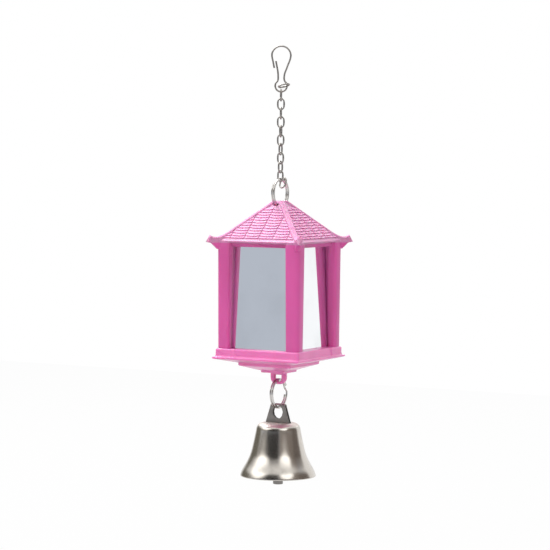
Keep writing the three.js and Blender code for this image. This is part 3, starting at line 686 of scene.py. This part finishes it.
def first_link():
    """A welded link, hung by the inside of its upper bow at the origin."""
    wire = wire_sizes()
    bow = (wire.link_width + wire.link_wire) / 2
    stretch = (wire.link_length - wire.link_width) / 2
    deselect()
    bpy.ops.mesh.primitive_torus_add(
        major_segments=LINK_STEPS,
        minor_segments=LINK_SIDES,
        major_radius=bow,
        minor_radius=wire.link_wire / 2,
        rotation=(0, 0, math.pi / LINK_STEPS),
    )
    link = bpy.context.object
    settle(link)
    edit(link)
    for side in (1, -1):
        pick(link, "VERT", lambda v: v.co.x * side > 0)
        bpy.ops.transform.translate(value=(side * stretch, 0, 0))
    points = link.data.vertices

    def along_side(edge):
        start, end = (points[i].co.x for i in edge.vertices)
        return abs(start - end) > stretch

    pick(link, "EDGE", along_side)
    bpy.ops.mesh.subdivide(number_cuts=WELD_CUTS)
    weld_half = wire.link_wire * WELD_REACH
    pick(link, "VERT", lambda v: abs(v.co.x) < weld_half and v.co.y > 0)
    swell = wire.weld_swell
    bpy.ops.transform.resize(value=(1, swell, swell), center_override=(0, bow, 0))
    leave_edit()
    end = stretch + bow + wire.link_wire / 2
    for point in link.data.vertices:
        point.co.y *= 1 - wire.link_pinch * (point.co.x / end) ** 2
    smooth(link, degrees=60)
    upright = Matrix((Y_AXIS, Z_AXIS, X_AXIS)).to_4x4()
    placed(link, upright)
    top = max(v.co.z for v in link.data.vertices)
    return placed(link, up_to(wire.link_wire - top))


class BIRD_OT_chain(bpy.types.Operator):
    """Models one welded link and hangs its copies in a twisted chain"""

    bl_idname = "bird_toy.chain"
    bl_label = "Chain"

    def execute(self, context):
        wire, pattern = wire_sizes(), first_link()
        self.hang(pattern, "end_link", self.on_ring(wire))
        for i, node in enumerate(LINKS):
            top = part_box(node)[1][2] - wire.link_wire
            yaw = wire.hook_yaw + wire.link_twist * (i - 1) + (math.pi / 2 if i % 2 == 0 else 0)
            self.hang(pattern, node, up_to(top) @ turn_z(yaw))
        self.hang(pattern, "start_link", self.at_hook(wire))
        bpy.data.objects.remove(pattern)
        return {"FINISHED"}

    def hang(self, pattern, node, place):
        link = placed(copied(pattern), place)
        dress(link, node + "_wire", node, "wire_steel", wire_finish(), node)

    def at_hook(self, wire):
        """Place of the loose link, round the right side of the hook's eye."""
        out = Matrix.Translation((wire.eye_radius * math.cos(wire.start_link_up), 0, 0))
        rise = up_to(hook_eye_z() + wire.eye_radius * math.sin(wire.start_link_up))
        flat = Matrix.Rotation(math.pi / 2 - wire.start_link_dip, 4, "Y")
        turned = turn_z(wire.start_link_turn) @ flat @ turn_z(wire.start_link_roll)
        reach = up_to(wire.hook_wire / 2 + wire.start_link_play)
        return turn_z(wire.hook_yaw) @ rise @ out @ turned @ reach

    def on_ring(self, wire):
        """Place of the spare link, on the upper ring."""
        lean = Matrix.Rotation(wire.end_link_lean, 4, "X")
        out = up_to(wire.ring_radius + wire.ring_play)
        return up_to(middle_of("top_ring").z) @ turn_z(wire.ring_yaw) @ lean @ out


RING_EDGE = 0.42  # Rounding of the rings' flat wire, by its thickness
RING_SPLITS = {"top_ring": 200, "bottom_ring": 330}  # Where each ring splits, in degrees round it


def split_ring(split_at):
    """A flat wire spun twice about X, stepping from one turn to the other opposite its ends."""
    wire = wire_sizes()
    turn = 2 * math.pi - 3 * wire.ring_split / 4
    pitch = wire.ring_axial + wire.ring_gap
    start = (-pitch / 2, wire.ring_radius - wire.ring_radial / 2, 0)
    deselect()
    bpy.ops.mesh.primitive_plane_add(size=1, location=start)
    ring = bpy.context.object
    ring.scale = (wire.ring_axial, wire.ring_radial, 1)
    settle(ring)
    edit(ring)
    select_mesh()
    bpy.ops.mesh.bevel(offset=wire.ring_axial * RING_EDGE, segments=4, affect="VERTICES")
    around = {"center": (0, 0, 0), "axis": (1, 0, 0)}
    bpy.ops.mesh.spin(steps=wire.ring_steps, angle=turn, **around)
    steps = wire.ring_step_cuts
    for i in range(steps):
        low, high = ((3 - 2 * t) * t * t for t in (i / steps, (i + 1) / steps))
        bpy.ops.mesh.spin(steps=1, angle=wire.ring_split / 2 / steps, **around)
        bpy.ops.transform.translate(value=(pitch * (high - low), 0, 0))
    bpy.ops.mesh.spin(steps=wire.ring_steps, angle=turn, **around)
    select_mesh()
    bpy.ops.mesh.normals_make_consistent(inside=False)
    leave_edit()
    smooth(ring, degrees=40)
    return placed(ring, Matrix.Rotation(split_at + wire.ring_split / 2, 4, "X"))


class BIRD_OT_rings(bpy.types.Operator):
    """Winds the two split rings"""

    bl_idname = "bird_toy.rings"
    bl_label = "Split rings"

    def execute(self, context):
        for node, split_degrees in RING_SPLITS.items():
            ring = split_ring(math.radians(split_degrees))
            place = up_to(middle_of(node).z) @ turn_z(wire_sizes().ring_yaw)
            dress(placed(ring, place), node + "_coil", node, "ring_steel", ring_finish(), node)
        return {"FINISHED"}


def soften(obj, width, least, least_angle=25, above=-math.inf, below=math.inf):
    """Bevels edges between two heights, if longer than least and sharper than least_angle."""
    form = bmesh.new()
    form.from_mesh(obj.data)
    weights = form.edges.layers.float.new("bevel_weight_edge")
    for e in form.edges:
        sharp = e.is_manifold and e.calc_face_angle(0.0) > math.radians(least_angle)
        between = all(above < v.co.z < below for v in e.verts)
        e[weights] = 1.0 if sharp and between and e.calc_length() > least else 0.0
    form.to_mesh(obj.data)
    form.free()
    settings = {"limit_method": "WEIGHT", "use_clamp_overlap": False, "miter_outer": "MITER_ARC"}
    modify(obj, "BEVEL", width=width, segments=2, **settings)
    modify(obj, "TRIANGULATE", min_vertices=5)
    smooth(obj, degrees=32)
    modify(obj, "WEIGHTED_NORMAL", keep_sharp=True)


def scale_at(obj, test, scale):
    """In edit mode, scales the vertices that pass the test about the hanging line."""
    pick(obj, "VERT", test)
    bpy.ops.transform.resize(value=scale, center_override=(0, 0, 0))


# Lines down a post's inner edge: how far across and ahead their ends are, in millimetres, and
# how much each line moves across and ahead
POST_EDGE = (
    (((17.0, 24.2), (17.55, 23.9)), 1.04, 1.0),
    (((16.51, 23.99), (17.05, 23.69)), 1.009, 0.992),
    (((16.3, 23.5), (16.85, 23.2)), 1.0, 0.966),
)


class BIRD_OT_lantern(bpy.types.Operator):
    """Models the roof and posts as one moulding: rounder posts, crisp tiles"""

    bl_idname = "bird_toy.lantern"
    bl_label = "Roof and posts"

    def execute(self, context):
        lantern = node_copy("pagoda_frame")
        self.round_posts(lantern)
        smooth(lantern, degrees=46)
        self.crisp_tiles(lantern)
        modify(lantern, "WEIGHTED_NORMAL", keep_sharp=True)
        dress(lantern, "pagoda_moulding", "lantern", "pink_plastic", lantern_pink(), "pagoda_frame")
        return {"FINISHED"}

    def round_posts(self, lantern):
        """Widens the rounding of the posts' edges towards the mirrors."""

        def on_line(across, ahead, ends):
            return any(near(across, a * MM) and near(ahead, b * MM) for a, b in ends)

        edit(lantern)
        for ends, wider, shallower in POST_EDGE:
            front = (wider, shallower, 1)
            scale_at(lantern, lambda v: on_line(v.co.x, v.co.y, ends), front)
            side = (shallower, wider, 1)
            scale_at(lantern, lambda v: on_line(v.co.y, v.co.x, ends), side)
        leave_edit()

    def crisp_tiles(self, lantern):
        """Keeps every edge of the roof's tiles sharp."""
        edit(lantern)
        bpy.ops.mesh.select_mode(type="EDGE")
        bpy.ops.mesh.select_all(action="DESELECT")
        bpy.ops.mesh.edges_select_sharp(sharpness=math.radians(4))
        leave_edit()
        points, eave = lantern.data.vertices, eave_z()
        for e in lantern.data.edges:
            if min(points[i].co.z for i in e.vertices) < eave:
                e.select = False
        bpy.ops.object.mode_set(mode="EDIT")
        bpy.ops.mesh.mark_sharp()
        leave_edit()


QUARTER = [step * math.pi / 8 for step in range(5)]  # A quarter turn in four steps


class BIRD_OT_base(bpy.types.Operator):
    """Moulds the base: round corners and rim, and a foot that curves out to the lip"""

    bl_idname = "bird_toy.base"
    bl_label = "Base"

    def execute(self, context):
        self.sizes = context.scene.toy_base
        low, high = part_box("base")
        self.rim_z = high[2] - self.sizes.curb_height
        self.lip_z = self.rim_z - self.sizes.plinth_height
        self.inner = self.sizes.plinth_half - self.sizes.rim_round
        base = node_copy("base")
        edit(base)
        self.ease_blocks(base)
        self.round_corners(base)
        self.round_rim(base)
        self.curve_foot(base)
        leave_edit()
        lower = {"above": low[2] + self.sizes.tab_height, "below": self.lip_z - CLOSE}
        soften(base, self.sizes.edge, least=1.2 * MM, **lower)
        dress(base, "base_moulding", "lantern", "pink_plastic", base_pink(), "base")
        return {"FINISHED"}

    def cut_sides(self, base, axis, at):
        """Cuts the plinth's outer walls along a plane."""
        points = base.data.vertices

        def on_wall(place):
            at_height = self.lip_z - CLOSE < place.z < self.rim_z + CLOSE
            return at_height and half_width(place) > self.inner

        def outer_wall(face):
            upright = abs(face.normal.z) < 0.5
            return upright and all(on_wall(points[i].co) for i in face.vertices)

        pick(base, "FACE", outer_wall)
        bpy.ops.mesh.bisect(plane_co=axis * at, plane_no=axis, threshold=CLOSE / 10)

    def scale_both(self, base, across, ahead, scale):
        """Scales the points at a place across and ahead, on all four sides."""
        wide, deep = scale
        scale_at(base, lambda v: near(v.co.x, ahead) and near(v.co.y, across), (deep, wide, 1))
        scale_at(base, lambda v: near(v.co.y, ahead) and near(v.co.x, across), (wide, deep, 1))

    def ease_blocks(self, base):
        """Slopes the ends of the corner blocks."""
        reach = self.sizes.block_reach
        scale = (reach - self.sizes.block_ease) / reach
        self.scale_both(base, reach, self.sizes.plinth_half, (scale, 1))

    def round_corners(self, base):
        """Rounds the upright corners."""
        half, radius = self.sizes.block_half, self.sizes.corner_round
        middle = half - radius
        part = middle + radius * math.sin(QUARTER[1])
        for axis in (X_AXIS, Y_AXIS):
            for at in (middle, -middle, part, -part):
                self.cut_sides(base, axis, at)
        step, corner = ((middle + radius * math.cos(turn)) / half for turn in QUARTER[1:3])
        self.scale_both(base, part, half, (1, step))
        scale_at(base, lambda v: near(v.co.x, half) and near(v.co.y, half), (corner, corner, 1))

    def bend_outline(self, base, start_z, steps):
        """Cuts the plinth at heights from start_z, then moves its outline in or out there."""
        for rise, _ in steps[1:]:
            self.cut_sides(base, Z_AXIS, start_z + rise)
        for rise, out in steps:
            z, scale = start_z + rise, 1 + out / self.sizes.block_half

            def on_outline(v):
                above_lip = self.inner < half_width(v.co) < self.sizes.block_half + CLOSE
                return above_lip and abs(v.co.z - z) < CLOSE

            scale_at(base, on_outline, (scale, scale, 1))

    def round_rim(self, base):
        """Rounds the plinth's top edge."""
        radius = self.sizes.rim_round
        steps = [(radius * (math.cos(a) - 1), radius * (math.sin(a) - 1)) for a in QUARTER]
        self.bend_outline(base, self.rim_z, steps)

    def curve_foot(self, base):
        """Curves the plinth's foot out over the lip."""
        rise, out = self.sizes.foot_rise, self.sizes.foot_out
        steps = [(rise * (1 - math.cos(a)), out * (1 - math.sin(a))) for a in QUARTER]
        self.bend_outline(base, self.lip_z, steps)


MIRROR_FOOT = 2 * MM  # Height up to which a mirror's points belong to its foot


class BIRD_OT_mirrors(bpy.types.Operator):
    """Silvers the four mirrors"""

    bl_idname = "bird_toy.mirrors"
    bl_label = "Mirrors"

    def execute(self, context):
        for quarter, node in enumerate(MIRRORS):
            sheet = node_copy(node)
            self.seat(sheet, turn_z(quarter * math.pi / 2) @ -Y_AXIS)
            dress(sheet, node + "_sheet", "lantern", "mirror", silvering(), node)
        return {"FINISHED"}

    def seat(self, sheet, outward):
        """Lets a mirror rest against its posts and on the base, without the model's play."""
        play = finishes().mirror_play
        edit(sheet)
        select_mesh()
        bpy.ops.transform.translate(value=outward * play)
        foot = min(v.co.z for v in sheet.data.vertices) + MIRROR_FOOT
        pick(sheet, "VERT", lambda v: v.co.z < foot)
        bpy.ops.transform.translate(value=(0, 0, -play))
        leave_edit()


def spline_through(knots, steps):
    """Points on a smooth curve through the knots."""
    ends = [knots[0], *knots, knots[-1]]
    points = []
    for i in range(steps + 1):
        at = (len(knots) - 1) * i / steps
        k = min(int(at), len(knots) - 2)
        t = at - k
        a, b, c, d = (Vector(p) for p in ends[k : k + 4])
        slope_b, slope_c = (c - a) / 2, (d - b) / 2
        t2, t3 = t * t, t * t * t
        leaving = (2 * t3 - 3 * t2 + 1) * b + (t3 - 2 * t2 + t) * slope_b
        points.append(leaving + (3 * t2 - 2 * t3) * c + (t3 - t2) * slope_c)
    return points


# The skirt's share of fall and of widening, from the shoulder to the mouth
BELL_FLARE = ((0, 0), (0.22, 0.13), (0.48, 0.31), (0.62, 0.47), (0.75, 0.66), (0.88, 0.88), (1, 1))
SHOULDER_STEPS, FLARE_STEPS = 6, 18
CROWN_INSET = 0.3  # Ring of faces inside the crown's edge, by the crown's radius


def bell_profile():
    """Radius and depth under the crown, from the crown's flat to the mouth."""
    bell = bell_sizes()
    profile = []
    for i in range(SHOULDER_STEPS + 1):
        t = i / SHOULDER_STEPS
        radius = bell.crown_radius + (bell.shoulder_radius - bell.crown_radius) * (2 * t - t * t)
        profile.append((radius, bell.shoulder_drop * t * t))
    widening = bell.rim_radius - bell.shoulder_radius
    fall = bell.height - bell.shoulder_drop
    for down, out in spline_through(BELL_FLARE, FLARE_STEPS)[1:]:
        profile.append((bell.shoulder_radius + widening * out, bell.shoulder_drop + fall * down))
    return profile


class BIRD_OT_bell(bpy.types.Operator):
    """Raises the bell ring by ring, gives it a wall and cuts the hanger's slot"""

    bl_idname = "bird_toy.bell"
    bl_label = "Bell"

    def execute(self, context):
        bell, profile = bell_sizes(), bell_profile()
        crown_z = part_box("bell_shell")[1][2]
        deselect()
        circle = {"radius": bell.crown_radius, "location": (0, 0, crown_z)}
        bpy.ops.mesh.primitive_circle_add(vertices=bell.sides, fill_type="NGON", **circle)
        shell = bpy.context.object
        settle(shell)
        edit(shell)
        bpy.ops.mesh.select_mode(type="EDGE")
        select_mesh()
        for (radius, depth), (next_radius, next_depth) in zip(profile, profile[1:]):
            fall = (0, 0, depth - next_depth)
            bpy.ops.mesh.extrude_edges_move(TRANSFORM_OT_translate={"value": fall})
            grow = next_radius / radius
            middle = (0, 0, crown_z - next_depth)
            bpy.ops.transform.resize(value=(grow, grow, 1), center_override=middle)
        pick(shell, "FACE", lambda face: len(face.vertices) > 4)
        bpy.ops.mesh.inset(thickness=bell.crown_radius * CROWN_INSET)
        select_mesh()
        bpy.ops.mesh.normals_make_consistent(inside=False)
        leave_edit()
        modify(shell, "SOLIDIFY", thickness=bell.sheet, offset=-1.0, use_even_offset=True)
        modify(shell, "SUBSURF", levels=1, render_levels=1)
        self.cut_slot(shell, bell, crown_z)
        smooth(shell, degrees=40)
        dress(shell, "bell_cup", "bell", "nickel", bell_finish(), "bell_shell")
        hanger = node_copy("bell_hanger")
        soften(hanger, finishes().plate_edge, least=0.3 * MM, least_angle=35)
        dress(hanger, "bell_hanger_plate", "bell", "plate_steel", plate_finish(), "bell_hanger")
        return {"FINISHED"}

    def cut_slot(self, shell, bell, crown_z):
        """Cuts the slot in the crown that the hanger's tongue passes through."""
        scale = (bell.slot_width, bell.slot_depth, bell.slot_depth)
        deselect()
        bpy.ops.mesh.primitive_cube_add(size=1, location=(0, 0, crown_z), scale=scale)
        cutter = bpy.context.object
        modify(shell, "BOOLEAN", operation="DIFFERENCE", object=cutter, solver="EXACT")
        bpy.data.objects.remove(cutter)


class BIRD_OT_clapper(bpy.types.Operator):
    """Turns the clapper's slug and bends its wire"""

    bl_idname = "bird_toy.clapper"
    bl_label = "Clapper"

    def execute(self, context):
        self.turn_slug(wire_sizes(), bell_sizes())
        self.bend_stem(wire_sizes(), bell_sizes())
        return {"FINISHED"}

    def turn_slug(self, wire, bell):
        deselect()
        bpy.ops.mesh.primitive_cylinder_add(
            vertices=bell.sides // 2,
            radius=bell.slug_radius,
            depth=bell.slug_length,
            location=middle_of("clapper"),
        )
        slug = bpy.context.object
        settle(slug)
        edit(slug)
        pick(slug, "FACE", lambda face: face.normal.z > 0.9)
        bpy.ops.mesh.inset(thickness=bell.slug_radius - wire.clapper_wire / 2 - wire.link_play)
        down = {"value": (0, 0, -bell.slug_socket)}
        bpy.ops.mesh.extrude_region_move(TRANSFORM_OT_translate=down)
        leave_edit()
        soften(slug, bell.slug_chamfer, least=0.1 * MM, least_angle=60)
        dress(slug, "clapper_slug", "clapper", "plate_steel", plate_finish(), "clapper")

    def bend_stem(self, wire, bell):
        low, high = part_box("clapper_wire")
        half = wire.clapper_wire / 2
        side, hole_z, end_z = high[1] - half, high[2] - half, low[2]
        under_z = hole_z - bell.stem_eye
        route = [
            (side, hole_z - 4 * half),
            (side, hole_z - 2 * half),
            (side - half, hole_z - half / 2),
            (side / 3, hole_z),
            (-side / 3, hole_z),
            (half - side, hole_z - half / 2),
            (-side, hole_z - 2 * half),
            (-side, under_z + 2 * half),
            (-side / 2, under_z - half),
            (0, under_z - 4 * half),
            (0, (under_z + end_z) / 2),
            (0, end_z),
        ]
        stem = drawn_wire([(0, y, z) for y, z in route], wire.clapper_wire)
        dress(stem, "clapper_stem", "clapper", "wire_steel", wire_finish(), "clapper_wire")


# Stage

SENSOR = 36.0  # Width of the camera's sensor, in millimetres
FLOOR_GLOW = 0.965  # Share of white light in what is seen of the floor
FLOOR_CLOUD = 0.985  # Tone of the floor's faint clouds, by its own tone
WHITE = (1.0, 1.0, 1.0)

# Each lamp's name, watts, size and place in metres, and whether the metal mirrors it
LAMPS = (
    ("key_light", 1.0, 0.7, (-0.55, -0.85, 0.45), False),
    ("fill_light", 1.9, 0.7, (0.8, -0.72, 0.1), False),
    ("top_light", 16.0, 0.8, (-0.45, 0.15, 0.78), True),
    ("rim_light", 1.0, 0.6, (-0.08, 0.88, 0.42), True),
    ("front_light", 4.0, 0.9, (0.2, -0.65, 0.85), False),
)
LAMP_AIM = Vector((0, 0, -0.12))

# The room that the metal mirrors: a first tone, then each tone over it, with the directions along
# which it starts and is full. Directions are as the camera sees them: right, away and up.
FRONT, SIDE, LIFT = (0, -1, 0), (1, 0, 0), (0, 0, 1)
SOFT_BOX = (2.2, 2.2, 2.17)
ROOM_TONE = (0.48, 0.51, 0.57)
ROOM = (
    (WHITE, (FRONT, 0.1, -0.3)),
    ((0.18, 0.17, 0.14), (SIDE, -0.3, -0.6), (FRONT, 0.0, -0.3), (LIFT, 0.45, 0.25)),
    ((0.24, 0.205, 0.18), (SIDE, 0.02, 0.16), (FRONT, -0.1, 0.2), (LIFT, 0.03, 0.12)),
    ((0.17, 0.145, 0.13), (SIDE, 0.75, 0.93), (FRONT, -0.45, -0.3), (FRONT, 0.4, 0.2)),
    ((0.3, 0.28, 0.25), (SIDE, -0.5, -0.75), (FRONT, -0.3, 0.0), (LIFT, 0.08, 0.18)),
    ((0.03, 0.028, 0.026), (FRONT, 0.35, 0.6), (LIFT, 0.06, 0.16), (SIDE, 0.12, 0.0)),
    (SOFT_BOX, ((-0.7, -0.15, 0.72), 0.84, 0.95)),
    (SOFT_BOX, ((0.4, -0.66, 0.64), 0.93, 0.97)),
    ((0.95, 0.95, 0.94), (LIFT, 0.58, 0.76)),
    ((0.8, 0.8, 0.8), (LIFT, -0.06, -0.3)),
)


def pale_floor(tone):
    """A floor that looks white and lights the toy from below."""
    finish, paint = new_finish("pale_floor")
    if paint:
        clouded = tuple(FLOOR_CLOUD * c for c in tone)
        cloudy = paint.blend(paint.noise(6.0), tuple(tone), clouded)
        dull = paint.node("ShaderNodeBsdfDiffuse", {"Color": cloudy})
        glow = paint.node("ShaderNodeEmission", {"Color": WHITE, "Strength": 1.0})
        seen = FLOOR_GLOW * paint.rays("Camera", "Glossy", "Transmission")
        shaders = {0: seen, 1: dull.outputs[0], 2: glow.outputs[0]}
        lit = paint.node("ShaderNodeMixShader", shaders)
        paint.node("ShaderNodeOutputMaterial", {"Surface": lit.outputs[0]})
    return finish


class BIRD_OT_stage(bpy.types.Operator):
    """Sets the camera, floor, lights and room"""

    bl_idname = "bird_toy.stage"
    bl_label = "Stage"

    def execute(self, context):
        stage = context.scene.toy_stage
        self.camera(context, stage)
        self.floor(stage)
        self.lamps()
        self.room(context, stage)
        context.scene.view_settings.view_transform = "Standard"
        return {"FINISHED"}

    def camera(self, context, stage):
        lens = bpy.data.cameras.new("picture_camera")
        lens.sensor_width = SENSOR
        lens.lens = SENSOR * stage.distance / (stage.pixel * stage.picture)
        lens.clip_start = 0.05
        tilt = Matrix.Rotation(math.pi / 2 - stage.elevation, 4, "X")
        turn = turn_z(stage.azimuth) @ tilt @ turn_z(stage.roll)
        back = Matrix.Translation((-stage.aim_left, 0, stage.distance))
        context.scene.camera = added("picture_camera", lens)
        context.scene.camera.matrix_world = up_to(-stage.aim_down) @ turn @ back

    def floor(self, stage):
        deselect()
        height = CAD_BOX[0][2] - stage.floor_drop
        bpy.ops.mesh.primitive_plane_add(size=2 * stage.floor_half, location=(0, 0, height))
        floor = bpy.context.object
        settle(floor)
        floor.name = "floor"
        floor.data.materials.append(pale_floor(stage.floor_tone))

    def lamps(self):
        for name, watts, size, place, mirrored in LAMPS:
            lamp = bpy.data.lights.new(name, "AREA")
            lamp.energy, lamp.size = watts, size
            holder = added(name, lamp)
            holder.location = place
            way = LAMP_AIM - holder.location
            holder.rotation_euler = way.to_track_quat("-Z", "Y").to_euler()
            holder.visible_glossy = mirrored

    def room(self, context, stage):
        """White to the camera, even light on the toy, and a studio's tones in the metal."""
        world = bpy.data.worlds.new("studio_room")
        world.use_nodes = True
        context.scene.world = world
        paint = Paint(world.node_tree)
        look = paint.term("ShaderNodeTexCoord", output="Generated")

        def along(direction):
            way = turn_z(stage.azimuth) @ Vector(direction).normalized()
            sockets = {0: look, 1: way}
            return paint.term("ShaderNodeVectorMath", sockets, "Value", operation="DOT_PRODUCT")

        mirrored = ROOM_TONE
        for tone, *bounds in ROOM:
            share = math.prod(paint.ease(along(way), start, full) for way, start, full in bounds)
            mirrored = paint.blend(share, mirrored, tone)
        lift = along(LIFT)
        level = paint.ease(lift, 0.0, 0.8, stage.room_light, stage.ceiling_light)
        level = level + paint.ease(lift, 0.0, -0.6, 0.0, stage.ground_light - stage.room_light)
        even = paint.term("ShaderNodeCombineColor", {0: level, 1: level, 2: level})
        tone = paint.blend(paint.rays("Glossy"), even, mirrored)
        tone = paint.blend(paint.rays("Camera", "Transmission"), tone, WHITE)
        sky = paint.node("ShaderNodeBackground", {"Color": tone, "Strength": 1.0})
        paint.node("ShaderNodeOutputWorld", {"Surface": sky.outputs[0]})


class BIRD_PT_panel(bpy.types.Panel):
    """Lists the toy's pieces and settings"""

    bl_label = "Bird Mirror Toy"
    bl_idname = "BIRD_PT_panel"
    bl_space_type = "VIEW_3D"
    bl_region_type = "UI"
    bl_category = "Bird Toy"

    def draw(self, context):
        for operator in OPERATORS:
            self.layout.operator(operator.bl_idname)
        for name, group in SETTINGS.items():
            self.layout.label(text=group.__doc__)
            for key in group.__annotations__:
                self.layout.prop(getattr(context.scene, name), key)


OPERATORS = (
    BIRD_OT_hook,
    BIRD_OT_chain,
    BIRD_OT_rings,
    BIRD_OT_lantern,
    BIRD_OT_base,
    BIRD_OT_mirrors,
    BIRD_OT_bell,
    BIRD_OT_clapper,
    BIRD_OT_stage,
)
SETTINGS = {
    "toy_wires": WireSizes,
    "toy_bell": BellSizes,
    "toy_base": BaseSizes,
    "toy_finish": FinishSettings,
    "toy_stage": StageSettings,
}


def register():
    for name, group in SETTINGS.items():
        bpy.utils.register_class(group)
        setattr(bpy.types.Scene, name, PointerProperty(type=group))
    for cls in (*OPERATORS, BIRD_PT_panel):
        bpy.utils.register_class(cls)


def unregister():
    for cls in (BIRD_PT_panel, *reversed(OPERATORS)):
        bpy.utils.unregister_class(cls)
    for name, group in SETTINGS.items():
        delattr(bpy.types.Scene, name)
        bpy.utils.unregister_class(group)


def main():
    register()
    bpy.ops.bird_toy.stage()
    bpy.ops.bird_toy.hook()
    bpy.ops.bird_toy.chain()
    bpy.ops.bird_toy.rings()
    bpy.ops.bird_toy.lantern()
    bpy.ops.bird_toy.base()
    bpy.ops.bird_toy.mirrors()
    bpy.ops.bird_toy.bell()
    bpy.ops.bird_toy.clapper()


if __name__ == "__main__":
    main()
